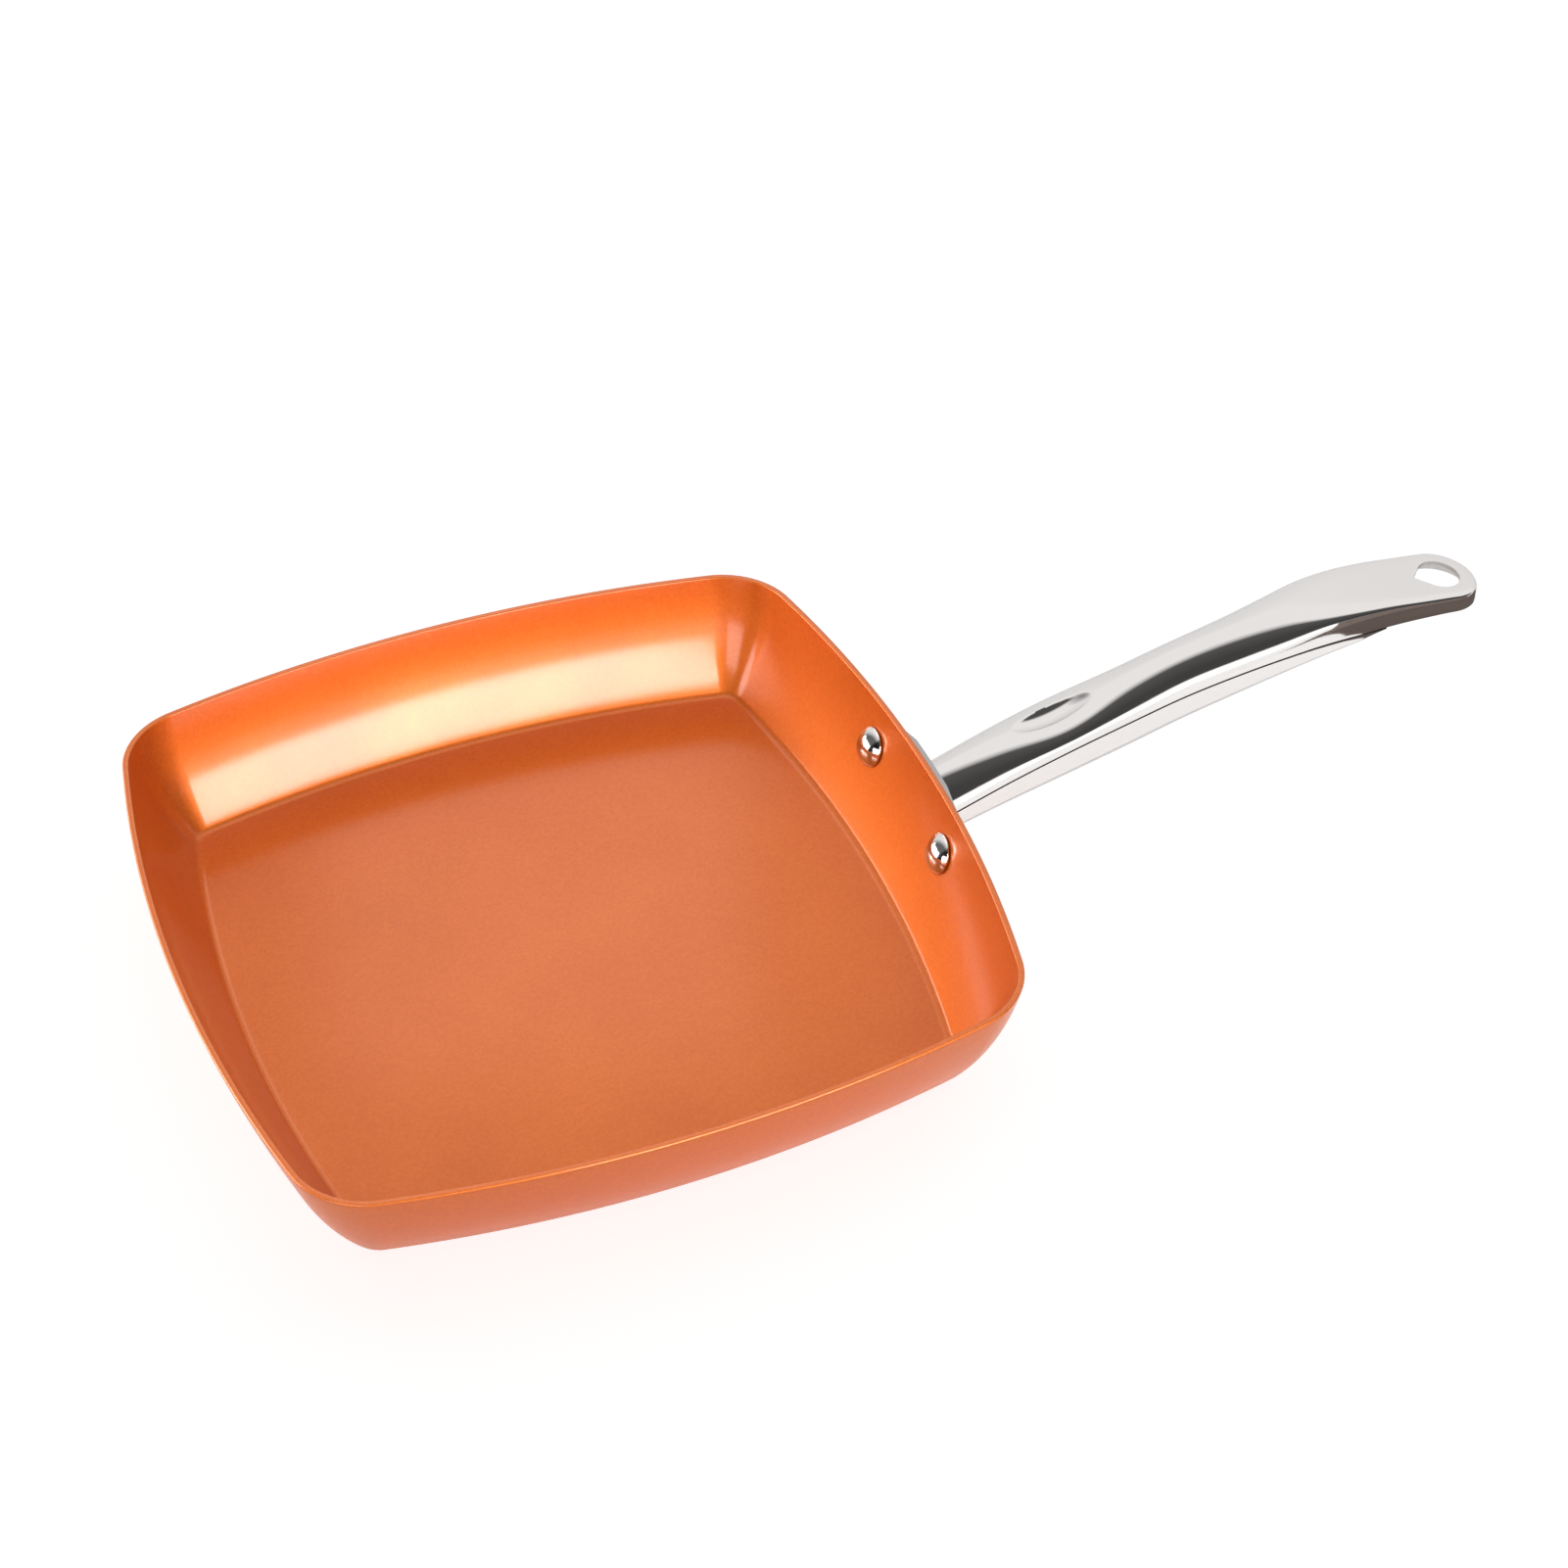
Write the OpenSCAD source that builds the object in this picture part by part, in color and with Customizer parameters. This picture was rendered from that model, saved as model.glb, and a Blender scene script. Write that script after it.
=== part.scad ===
// Square frying pan: a pressed bowl with gently bowed sides, a steel disc set in its underside, and a
// hollow polished handle of two pressed shells on a riveted bracket.
// The origin is the middle of the underside, +X points along the handle and +Z points up.

/* [Pan] */
// Outer width across the middle of two opposite sides
pan_w = 241.3; // [200:0.1:320]
// Height of the rim above the table
pan_h = 41.5; // [34:0.5:70]
// Plan radius of the gently bowed sides
side_r = 445; // [300:5:900]
// Plan radius of the rim at the four corners
corner_r = 26; // [22:0.5:40]
// Thickness of the wall at the rim
rim_t = 2; // [1.6:0.1:3]
// Thickness of the floor, from the table to the cooking surface
floor_t = 5.2; // [4:0.1:7]
// Bow of the outside of the wall, seen in section
wall_r = 95; // [80:1:160]
// Bow of the inside of the wall, seen in section
inner_wall_r = 80; // [70:1:140]
// Radius where the outside of the wall turns under
foot_r = 11.5; // [6:0.5:14]
// Fillet between the wall and the cooking surface
inner_foot_r = 3.5; // [2:0.5:6]

/* [Base disc] */
// Diameter of the steel disc in the underside
disc_d = 150; // [110:1:160]
// Thickness of the steel disc
disc_t = 0.8; // [0.5:0.1:1.5]
// Diameter of the holes in the disc
disc_hole_d = 5; // [3:0.5:8]
// Number of holes in the inner row, doubled and trebled in the next two
disc_holes = 8; // [6:1:10]

/* [Handle] */
// Reach of the handle past the rim
handle_reach = 191; // [150:1:240]
// Greatest width of the handle
handle_w = 26; // [22:0.5:34]
// Climb of the seam between the two shells
handle_rise = 36; // [20:1:60]
// Height of the seam above the table where the handle leaves the pan
seam_root_z = 20; // [19:0.5:22]
// Height of the upper shell above the seam at the pan
upper_h = 10; // [8:0.5:12]
// Depth of the lower shell below the seam at the pan
lower_h = 12; // [9:0.1:12]
// Height of the flat end of the handle
end_h = 6; // [4:0.5:8]
// Length of the rounded tip
tip_len = 12.7; // [10:0.1:18]
// Thickness of the handle's sheet
sheet_t = 1.3; // [1:0.1:2]
// Distance from the lower shell's end to the tip
lower_back = 38; // [32:1:60]

/* [Hanging hole] */
// Diameter of the round part of the hole
hole_d = 13.8; // [10:0.1:16]
// Distance from the hole's middle to the tip
hole_back = 12.6; // [11:0.1:18]
// Distance from the hole's middle to its point
hole_point = 9.4; // [9:0.1:11]

/* [Thumb dimple] */
// Distance from the rim to the deepest place of the dimple
dimple_reach = 41; // [30:1:70]
// Depth of the dimple
dimple_depth = 1.6; // [0.8:0.1:2.5]
// Radius of the dimple along the handle
dimple_run_r = 42; // [30:1:60]
// Radius of the dimple across the handle
dimple_cross_r = 6.5; // [5:0.5:9]

/* [Bracket and rivets] */
// Thickness of the bracket
bracket_t = 2.2; // [1.5:0.1:3]
// Height of the bracket's top edge
bracket_top = 39.6; // [37:0.1:40]
// Height of the bracket's bottom edge
bracket_bottom = 9; // [8:0.5:12]
// Width of the bracket's middle behind the handle
bracket_w = 34; // [30:1:42]
// Radius of the ears that the rivets pass through
ear_r = 9; // [8:0.5:11]
// Radius of the bracket's rounded corners
bracket_corner_r = 6; // [3:0.5:8]
// Distance between the two rivets
rivet_span = 54; // [50:1:70]
// Height of the rivets above the table
rivet_z = 26.6; // [24:0.1:30]
// Diameter of the rivets' shanks
rivet_d = 6; // [4:0.5:8]
// Diameter of the domed heads inside the pan
rivet_head_d = 14; // [10:0.5:16]
// Height of the domed heads
rivet_head_h = 3.8; // [2:0.1:4.5]
// Diameter of the closed ends outside the bracket
rivet_tail_d = 11; // [9:0.5:13]
// Height of the closed ends
rivet_tail_h = 2; // [1.5:0.1:3]

/* [Hidden] */

// Passes cutting shapes beyond what they cut
overrun = 1;
// Clearance of pieces that are pressed or riveted into place
press_gap = 0.1;
// Rounding of the rim's two edges, and the part of a quarter turn that it takes
rim_edge_r = 0.6;
rim_turn = 60;
// Turn left out where a foot's arc takes over from the wall's
foot_gap = 10;
// Plan radius of the corners where the flat underside begins
base_corner_r = 0.8;
// Plan radius of the corners where the flat cooking surface begins
floor_corner_r = 5;
// Each corner laps over the sides next to it and stands this little proud of them
corner_proud = 0.05;
corner_lap_angle = 1;
// Distance from the disc's middle to the first row of holes, and between the rows, as a share of its radius
disc_row_share = 0.27;

side_fn = 480;
corner_fn = 96;
round_fn = 64;
wall_steps = 10;
foot_steps = 6;
edge_steps = 3;

half_w = pan_w / 2;
side_x = half_w - side_r;
plate_r = side_r - corner_r;
corner_at = (2 * side_x + sqrt(8 * plate_r * plate_r - 4 * side_x * side_x)) / 4;
side_angle = atan2(corner_at, corner_at - side_x);

// Wall curves, as insets from the rim and heights above the table. A wall arc of radius bow runs from
// the rim point p and turns, without a corner, into a foot arc about f of radius foot.
function arc_middle(p, f, foot, bow) =
    let (d = norm(f - p), u = (f - p) / d, a = (bow * bow - (bow - foot) * (bow - foot) + d * d) / (2 * d))
    p + a * u + sqrt(bow * bow - a * a) * [-u[1], u[0]];
function lean(m, p) = atan2(m[1] - p[1], m[0] - p[0]);
function arc_points(m, r, from, to, steps) =
    [for (i = [0:steps]) let (b = from + (to - from) * i / steps) m - r * [cos(b), sin(b)]];

outer_top = [0, pan_h - rim_edge_r];
outer_foot = [corner_r - base_corner_r, foot_r];
outer_middle = arc_middle(outer_top, outer_foot, foot_r, wall_r);
outer_lean = lean(outer_middle, outer_top);
foot_lean = lean(outer_middle, outer_foot);

inner_top = [rim_t, pan_h - rim_edge_r];
inner_foot = [corner_r - floor_corner_r, floor_t + inner_foot_r];
inner_middle = arc_middle(inner_top, inner_foot, inner_foot_r, inner_wall_r);
inner_lean = lean(inner_middle, inner_top);
inner_foot_lean = lean(inner_middle, inner_foot);

function outer_wall(grow) =
    arc_points(outer_middle, wall_r + grow, outer_lean, foot_lean, wall_steps);
function reversed(list) = [for (i = [len(list) - 1:-1:0]) list[i]];

pan_section = concat(
    arc_points(outer_top + [rim_edge_r, 0], rim_edge_r, -90, rim_turn - 90, edge_steps),
    outer_wall(0),
    arc_points(outer_foot, foot_r, foot_lean + foot_gap, 90, foot_steps),
    [[corner_r, 0], [corner_r, floor_t]],
    reversed(arc_points(inner_foot, inner_foot_r, inner_foot_lean + foot_gap, 90, foot_steps)),
    reversed(arc_points(inner_middle, inner_wall_r, inner_lean, inner_foot_lean, wall_steps)),
    arc_points(inner_top - [rim_edge_r, 0], rim_edge_r, -90 - rim_turn, -90, edge_steps));

// A section given as insets, turned about a point at the distance radius inside the rim
module turned(section, radius, angle, fn) {
    rotate([0, 0, -angle / 2])
        rotate_extrude(angle = angle, $fn = fn)
            polygon([for (p = section) [radius - p[0], p[1]]]);
}

// The same section round the side that carries the handle
module along_side(section, angle) {
    translate([side_x, 0, 0]) turned(section, side_r, angle, side_fn);
}

// Rivets stand square to the wall, and their own height is measured from its outside
rivet_lean = asin((outer_middle[1] - rivet_z) / wall_r);
rivet_in = outer_middle - wall_r * [cos(rivet_lean), sin(rivet_lean)];
rivet_turn = asin(rivet_span / 2 / (side_r - rivet_in[0]));
rivet_way = [cos(rivet_lean), sin(rivet_lean)];
rivet_off = rivet_in - inner_middle;
rivet_wall = -rivet_off * rivet_way
    - sqrt(pow(rivet_off * rivet_way, 2) - rivet_off * rivet_off + inner_wall_r * inner_wall_r);
// The flat underside of a head rests on its rim in the hollow of the wall
rivet_seat = rivet_head_d * rivet_head_d / 8 / inner_wall_r + press_gap / 2;

module at_rivets() {
    for (side = [-1, 1])
        translate([side_x, 0, 0]) rotate([0, 0, side * rivet_turn])
            translate([side_r - rivet_in[0], 0, rivet_in[1]])
                rotate([0, 90 + rivet_lean, 0]) children();
}

module rivet_bores() {
    at_rivets()
        translate([0, 0, -rivet_wall - rivet_head_h])
            cylinder(d = rivet_d + 2 * press_gap, h = rivet_wall + rivet_head_h + bracket_t + overrun,
                $fn = round_fn);
}

// Three rows of holes in the disc, which studs of the pan's own metal fill
module at_disc_holes() {
    for (row = [1:3], i = [0:disc_holes * row - 1])
        rotate([0, 0, 360 * i / (disc_holes * row)])
            translate([disc_row_share * row * disc_d / 2, 0, 0]) children();
}

module pan_body() {
    color([0.84, 0.42, 0.2])
    difference() {
        union() {
            for (quarter = [0:3]) rotate([0, 0, 90 * quarter]) {
                along_side(pan_section, 2 * side_angle);
                translate([corner_at, corner_at, 0]) rotate([0, 0, 45])
                    turned(pan_section, corner_r + corner_proud,
                        90 - 2 * (side_angle - corner_lap_angle), corner_fn);
            }
            intersection_for(quarter = [0:3])
                rotate([0, 0, 90 * quarter]) translate([side_x, 0, 0])
                    cylinder(r = plate_r + base_corner_r / 2, h = floor_t, $fn = side_fn);
        }
        difference() {
            translate([0, 0, -overrun])
                cylinder(d = disc_d + 2 * press_gap, h = disc_t + overrun, $fn = 2 * corner_fn);
            at_disc_holes()
                cylinder(d = disc_hole_d - 2 * press_gap, h = disc_t + overrun, $fn = round_fn / 2);
        }
        rivet_bores();
    }
}

module base_disc() {
    color([0.72, 0.72, 0.74])
    difference() {
        cylinder(d = disc_d, h = disc_t, $fn = 2 * corner_fn);
        at_disc_holes()
            translate([0, 0, -overrun])
                cylinder(d = disc_hole_d, h = disc_t + 2 * overrun, $fn = round_fn / 2);
    }
}

// Outline of the bracket across the wall: a middle with rounded corners, drawn out into two ears
corner_y = bracket_w / 2 - bracket_corner_r;
top_corner = [corner_y, bracket_top - bracket_corner_r];
low_corner = [corner_y, bracket_bottom + bracket_corner_r];
ear_middle = [rivet_span / 2, rivet_z];
function tangent(p, q, rp, rq, hand) =
    atan2(q[1] - p[1], q[0] - p[0]) + hand * acos((rp - rq) / norm(q - p));
top_tangent = tangent(top_corner, ear_middle, bracket_corner_r, ear_r, 1);
low_tangent = tangent(low_corner, ear_middle, bracket_corner_r, ear_r, -1);
function round_points(m, r, from, to, steps) =
    [for (i = [0:steps]) let (b = from + (to - from) * i / steps) m + r * [cos(b), sin(b)]];
bracket_half = concat(
    round_points(low_corner, bracket_corner_r, -90, low_tangent, foot_steps),
    round_points(ear_middle, ear_r, low_tangent, top_tangent, 2 * wall_steps),
    round_points(top_corner, bracket_corner_r, top_tangent, 90, foot_steps));
bracket_outline = concat(bracket_half, reversed([for (p = bracket_half) [-p[0], p[1]]]));
bracket_angle = 4 * rivet_turn;

module handle_bracket() {
    color([0.78, 0.78, 0.8])
    difference() {
        intersection() {
            along_side(concat(outer_wall(0), reversed(outer_wall(bracket_t))), bracket_angle);
            translate([half_w - 2 * corner_r, 0, 0]) rotate([90, 0, 90])
                linear_extrude(height = 4 * corner_r) polygon(bracket_outline);
        }
        rivet_bores();
    }
}

// A dome of diameter d and height h, as half a section rising from the level z
function dome(d, h, z, way) =
    let (r = (d * d / 4 + h * h) / (2 * h), a = asin(d / 2 / r))
    [for (i = [0:foot_steps]) let (b = a * i / foot_steps) [r * sin(b), z + way * (h - r + r * cos(b))]];

module rivets() {
    head_z = -rivet_wall - rivet_seat;
    color([0.8, 0.8, 0.82])
    at_rivets()
        rotate_extrude($fn = round_fn)
            polygon(concat(
                dome(rivet_head_d, rivet_head_h, head_z, -1),
                [[rivet_d / 2, head_z], [rivet_d / 2, bracket_t]],
                reversed(dome(rivet_tail_d, rivet_tail_h, bracket_t, 1))));
}

// The handle is drawn from places along its length. Each row of shares belongs to these places.
handle_root_in = 14.6;
root_x = half_w - handle_root_in;
tip_x = half_w + handle_reach;
along_shares = [0, 0.09, 0.19, 0.29, 0.39, 0.48, 0.58, 0.66, 0.71, 0.77, 0.83, 0.89, 0.94, 1];
rise_shares = [0, 0.175, 0.375, 0.545, 0.675, 0.79, 0.895, 0.97, 1, 1.01, 1.01, 0.99, 0.965, 0.91];
width_shares = [0.86, 0.86, 0.87, 0.88, 0.84, 0.82, 0.87, 0.95, 0.98, 1, 0.99, 0.975, 0.965, 0.96];
flat_shares = [-0.3, -0.3, 0.1, 0.66, 0.08, -0.2, -0.22, -0.15, 0.05, 0.25, 0.52, 0.8, 0.93, 1];
edge_shares = [1.35, 1.3, 1.1, 0.87, 1.1, 1.1, 1.05, 0.85, 0.52, 0.33, 0.26, 0.22, 0.22, 0.22];
depth_shares = [0.85, 0.98, 1.15, 1.26, 1.26, 1.2, 1.07, 0.9, 0.76, 0.52, 0.2, 0.12, 0.12, 0.12];
lower_edge_share = 0.75;

function place(s, i = 0) = i == len(along_shares) - 2 || s < along_shares[i + 1] ? i : place(s, i + 1);
function steepness(v, i) =
    let (lo = max(i - 1, 0), hi = min(i + 1, len(v) - 1)) (v[hi] - v[lo]) / (along_shares[hi] - along_shares[lo]);
function smooth(v, s) =
    let (i = place(s), w = along_shares[i + 1] - along_shares[i], t = (s - along_shares[i]) / w)
    v[i] * (1 + 2 * t) * (1 - t) * (1 - t) + v[i + 1] * t * t * (3 - 2 * t)
        + w * t * (1 - t) * (steepness(v, i) * (1 - t) - steepness(v, i + 1) * t);

function share_at(x) = max(0, min(1, (x - root_x) / (tip_x - root_x)));
function seam_z(x) = seam_root_z + handle_rise * smooth(rise_shares, share_at(x));
function half_width(x) = handle_w / 2 * smooth(width_shares, share_at(x));
function upper_rise(x) = upper_h + (end_h - upper_h) * smooth(flat_shares, share_at(x));
function lower_drop(x) = lower_h * smooth(depth_shares, share_at(x));
function top_z(x) = seam_z(x) + upper_rise(x);
// Lean of the handle's top over a stretch of it, for what is cut square to it
function top_lean(x, stretch) = -atan((top_z(x + stretch / 2) - top_z(x - stretch / 2)) / stretch);

// One arched row of points at x, from the near seam over the arch to the far one
arch_steps = 16;
function bent(v, e) = sign(v) * pow(abs(v), e);
function arch(x, half, high, edge, way) =
    [for (j = [0:arch_steps]) let (b = 180 * j / arch_steps)
        [x, -half * bent(cos(b), edge), seam_z(x) + way * high * bent(sin(b), edge)]];

// Faces of a shell of outer and inner rows: skins, seams, the open root and the closed end
function shell_faces(rows) =
    let (m = arch_steps + 1, n = rows - 1, q = rows * m)
    concat(
        [for (i = [0:n - 1], j = [0:m - 2]) each [
            [i * m + j, i * m + j + 1, (i + 1) * m + j + 1], [i * m + j, (i + 1) * m + j + 1, (i + 1) * m + j],
            [q + i * m + j + 1, q + i * m + j, q + (i + 1) * m + j + 1],
            [q + (i + 1) * m + j + 1, q + i * m + j, q + (i + 1) * m + j]]],
        [for (i = [0:n - 1]) each [
            [i * m, (i + 1) * m, q + (i + 1) * m], [i * m, q + (i + 1) * m, q + i * m],
            [i * m + m - 1, q + (i + 1) * m + m - 1, (i + 1) * m + m - 1],
            [i * m + m - 1, q + i * m + m - 1, q + (i + 1) * m + m - 1]]],
        [for (j = [0:m - 2]) each [
            [j, q + j, q + j + 1], [j, q + j + 1, j + 1]]],
        [for (j = [1:m - 2]) each [
            [n * m, n * m + j, n * m + j + 1], [q + n * m, q + n * m + j + 1, q + n * m + j]]],
        [[n * m, n * m + m - 1, q + n * m + m - 1], [n * m, q + n * m + m - 1, q + n * m]]);

// A shell from rows of [x, half width, height] outside and inside
module shell(outer, inner, way) {
    faces = shell_faces(len(outer));
    points = [for (rows = [outer, inner], p = rows) each arch(p[0], p[1], p[2], p[3], way)];
    polyhedron(points, way > 0 ? faces : [for (f = faces) reversed(f)], convexity = 6);
}

// Places along the upper shell: even to the tip, then closing round it
body_steps = 30;
tip_steps = 7;
tip_start = tip_x - tip_len;
closing_angle = 86;
function upper_row(x, close, inset) =
    [x, (half_width(x) - inset) * close, upper_rise(x) - inset, smooth(edge_shares, share_at(x))];
function upper_rows(inset) = concat(
    [for (i = [0:body_steps - 1]) upper_row(root_x + (tip_start - root_x) * i / body_steps, 1, inset)],
    [for (i = [0:tip_steps]) let (b = closing_angle * i / tip_steps)
        upper_row(tip_start + (tip_len - inset) * sin(b), cos(b), inset)]);

// Under the dimple the sheet is pressed down with it
dimple_x = half_w + dimple_reach;
function pressed(x) = dimple_depth * max(0, cos(90 * min(1, abs(x - dimple_x) / dimple_run_r * 2)));
function pressed_rows(rows) = [for (p = rows) [p[0], p[1], p[2] - pressed(p[0]), p[3]]];

// Places along the lower shell, whose end is closed a sheet's thickness short
lower_end = tip_x - lower_back;
function lower_rows(inset) =
    [for (i = [0:body_steps]) let (x = root_x + (lower_end - inset - root_x) * i / body_steps)
        [x, half_width(x) - inset, max(lower_drop(x) - inset, sheet_t / 4), lower_edge_share]];

// Everything inside the bracket's outer face, to which the handle's root is cut
module inside_bracket() {
    band = outer_wall(bracket_t);
    along_side(concat(band, [[2 * corner_r, band[wall_steps][1]], [2 * corner_r, band[0][1]]]), bracket_angle);
}

// The hole is punched square to the drooping end
module hanging_hole() {
    r = hole_d / 2;
    a = acos(r / hole_point);
    hole_x = tip_x - hole_back;
    translate([hole_x, 0, top_z(hole_x)]) rotate([0, top_lean(hole_x, hole_d), 0]) translate([0, 0, -end_h]) {
        cylinder(d = hole_d, h = 2 * end_h, $fn = round_fn);
        linear_extrude(height = 2 * end_h)
            polygon([[-hole_point, 0], [-r * cos(a), -r * sin(a)], [0, 0], [-r * cos(a), r * sin(a)]]);
    }
}

// The dimple is the mark of a round-edged wheel that lies along the handle
module thumb_dimple() {
    translate([dimple_x, 0, top_z(dimple_x) - dimple_depth])
        rotate([0, top_lean(dimple_x, dimple_run_r / 2), 0]) translate([0, 0, dimple_run_r]) rotate([90, 0, 0])
            rotate_extrude($fn = corner_fn)
                translate([dimple_run_r - dimple_cross_r, 0]) circle(r = dimple_cross_r, $fn = round_fn / 2);
}

module handle_upper() {
    color([0.86, 0.86, 0.88])
    difference() {
        shell(upper_rows(0), pressed_rows(upper_rows(sheet_t)), 1);
        inside_bracket();
        hanging_hole();
        thumb_dimple();
    }
}

module handle_lower() {
    color([0.66, 0.66, 0.7])
    difference() {
        shell(lower_rows(0), lower_rows(sheet_t), -1);
        inside_bracket();
    }
}

pan_body();
base_disc();
handle_bracket();
rivets();
handle_upper();
handle_lower();
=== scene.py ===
"""Looks of a square frying pan: a coated pan with bowed sides, its riveted bracket and a polished handle."""

import math
from functools import lru_cache

import bmesh
import bpy
from bpy.props import FloatProperty, FloatVectorProperty, IntProperty, PointerProperty
from mathutils import Euler, Matrix, Vector


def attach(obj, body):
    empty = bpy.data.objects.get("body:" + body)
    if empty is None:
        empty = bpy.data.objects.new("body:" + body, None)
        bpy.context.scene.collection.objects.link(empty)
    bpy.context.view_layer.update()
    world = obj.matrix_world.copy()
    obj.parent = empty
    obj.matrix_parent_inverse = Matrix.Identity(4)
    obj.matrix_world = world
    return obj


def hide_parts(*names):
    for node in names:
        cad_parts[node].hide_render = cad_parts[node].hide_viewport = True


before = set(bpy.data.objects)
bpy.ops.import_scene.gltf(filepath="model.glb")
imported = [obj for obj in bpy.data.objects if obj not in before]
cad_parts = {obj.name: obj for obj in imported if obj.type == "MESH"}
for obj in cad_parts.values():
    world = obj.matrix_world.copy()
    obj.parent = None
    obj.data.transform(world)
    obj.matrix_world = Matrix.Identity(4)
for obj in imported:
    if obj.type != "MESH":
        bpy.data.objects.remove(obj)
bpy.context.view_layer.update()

bl_info = {
    "name": "Square Frying Pan",
    "version": (1, 0, 0),
    "blender": (4, 5, 0),
    "location": "View3D > Sidebar > Frying Pan",
    "description": "Builds a coated square frying pan with a polished two-shell handle",
    "category": "Add Mesh",
}


# Sizes and colours


def length(name, description, default):
    """A length in metres"""
    return FloatProperty(name=name, description=description, default=default, min=0.0, subtype="DISTANCE",
                         unit="LENGTH", precision=5)


def tone(name, description, default):
    """A colour"""
    return FloatVectorProperty(name=name, description=description, default=default, size=3, min=0.0, max=1.0,
                               subtype="COLOR")


def fraction(name, description, default):
    """A share from nothing to all"""
    return FloatProperty(name=name, description=description, default=default, min=0.0, max=1.0,
                         subtype="FACTOR")


def watts(name, description, default):
    """The power of a light"""
    return FloatProperty(name=name, description=description, default=default, min=0.0, subtype="POWER",
                         unit="POWER")


class PanSizes(bpy.types.PropertyGroup):
    """Sizes of the pressed pan"""

    half_width: length("Half width", "Half of the pan's width across its sides", 0.1206)
    height: length("Height", "Height of the rim above the table", 0.0415)
    side_radius: length("Side radius", "Plan radius of the bowed sides", 0.445)
    corner_radius: length("Corner radius", "Plan radius of the rim's corners", 0.026)
    rim_width: length("Rim width", "Thickness of the wall at the rim", 0.002)
    rim_edge: length("Rim edge", "Rounding of the rim's edges", 0.0006)
    floor_height: length("Floor height", "Height of the cooking surface above the table", 0.0052)
    wall_bow: length("Wall bow", "Bow of the outside of the wall", 0.095)
    inner_wall_bow: length("Inner wall bow", "Bow of the inside of the wall", 0.08)
    foot: length("Foot", "Radius where the outside turns under", 0.0115)
    inner_foot: length("Inner foot", "Fillet between wall and cooking surface", 0.0035)
    base_corner: length("Base corner", "Plan radius of the corners of the flat underside", 0.0008)
    floor_corner: length("Floor corner", "Plan radius of the corners of the cooking surface", 0.005)
    disc_diameter: length("Disc diameter", "Diameter of the steel disc's recess", 0.1502)
    disc_depth: length("Disc depth", "Depth of the disc's recess", 0.0008)
    stud_diameter: length("Stud diameter", "Diameter of the studs in the disc's holes", 0.0048)
    stud_row: length("Stud row", "Distance between rows of studs", 0.02025)
    studs: IntProperty(name="Studs", description="Studs in the inner row", default=8, min=3, max=20)


class HandleSizes(bpy.types.PropertyGroup):
    """Sizes of the two-shell handle"""

    root: length("Root", "Where the handle's shape begins, from the pan's middle", 0.10605)
    tip: length("Tip", "Where the handle ends, from the pan's middle", 0.3116)
    tip_round: length("Tip round", "Length of the rounded tip", 0.0127)
    width: length("Width", "Greatest width", 0.026)
    root_height: length("Root height", "Height of the seam where the handle begins", 0.020)
    rise: length("Rise", "Climb of the seam", 0.036)
    upper: length("Upper height", "Height of the upper shell at the pan", 0.010)
    end: length("End height", "Height of the flat end", 0.006)
    lower: length("Lower depth", "Depth of the lower shell at the pan", 0.012)
    sheet: length("Sheet", "Thickness of the sheet", 0.0013)
    lower_back: length("Lower end", "Distance from the lower shell's end to the tip", 0.038)
    hole: length("Hole", "Diameter of the hanging hole", 0.0138)
    hole_back: length("Hole back", "Distance from the hole's middle to the tip", 0.0126)
    hole_point: length("Hole point", "Distance from the hole's middle to its point", 0.0094)
    dimple_place: length("Dimple place", "Distance of the thumb dimple from the pan's middle", 0.1630)
    dimple_depth: length("Dimple depth", "Depth of the thumb dimple", 0.0023)
    dimple_run: length("Dimple run", "Radius of the thumb dimple along the handle", 0.030)
    dimple_cross: length("Dimple cross", "Radius of the thumb dimple across the handle", 0.0050)
    dimple_edge: length("Dimple edge", "Rounding of the thumb dimple's edge", 0.0004)
    seam_edge: length("Seam edge", "Rounding of the sheets' edges along the seam", 0.0005)
    easing: length("Easing", "Stretch over which the handle's shape is eased", 0.003)
    bracket: length("Bracket", "Thickness of the bracket behind the handle", 0.0022)
    into_bracket: length("Into bracket", "How far the shells' ends sit in the bracket's face", 0.0003)


class RivetSizes(bpy.types.PropertyGroup):
    """Sizes of the two rivets"""

    span: length("Span", "Distance between the rivets", 0.054)
    height: length("Height", "Height of the rivets above the table", 0.0266)
    shank: length("Shank", "Diameter of the shank", 0.006)
    head: length("Head", "Diameter of the head inside the pan", 0.014)
    head_height: length("Head height", "Height of the head's dome", 0.0038)
    tail: length("Tail", "Diameter of the tail behind the bracket", 0.011)
    tail_height: length("Tail height", "Height of the tail's dome", 0.002)
    edge: length("Edge", "Rounding of the head's and tail's edges", 0.0005)
    gap: length("Gap", "Clearance of the shank", 0.0001)


class PanColours(bpy.types.PropertyGroup):
    """Colours and gloss of the finishes"""

    coating: tone("Coating", "Copper-coloured ceramic coating", (0.72, 0.172, 0.019))
    coating_deep: tone("Coating deep", "Darker flecks in the coating", (0.615, 0.124, 0.011))
    steel: tone("Steel", "Polished stainless steel", (0.83, 0.805, 0.79))
    brushed: tone("Brushed", "Brushed steel of the disc", (0.6, 0.6, 0.61))
    satin: tone("Satin", "Satin steel of the bracket", (0.46, 0.45, 0.44))
    wall_skin: fraction("Wall skin", "Share of the coating's glossy skin on the walls", 0.9)
    floor_skin: fraction("Floor skin", "Share of the coating's glossy skin on the cooking surface", 0.6)


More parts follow.
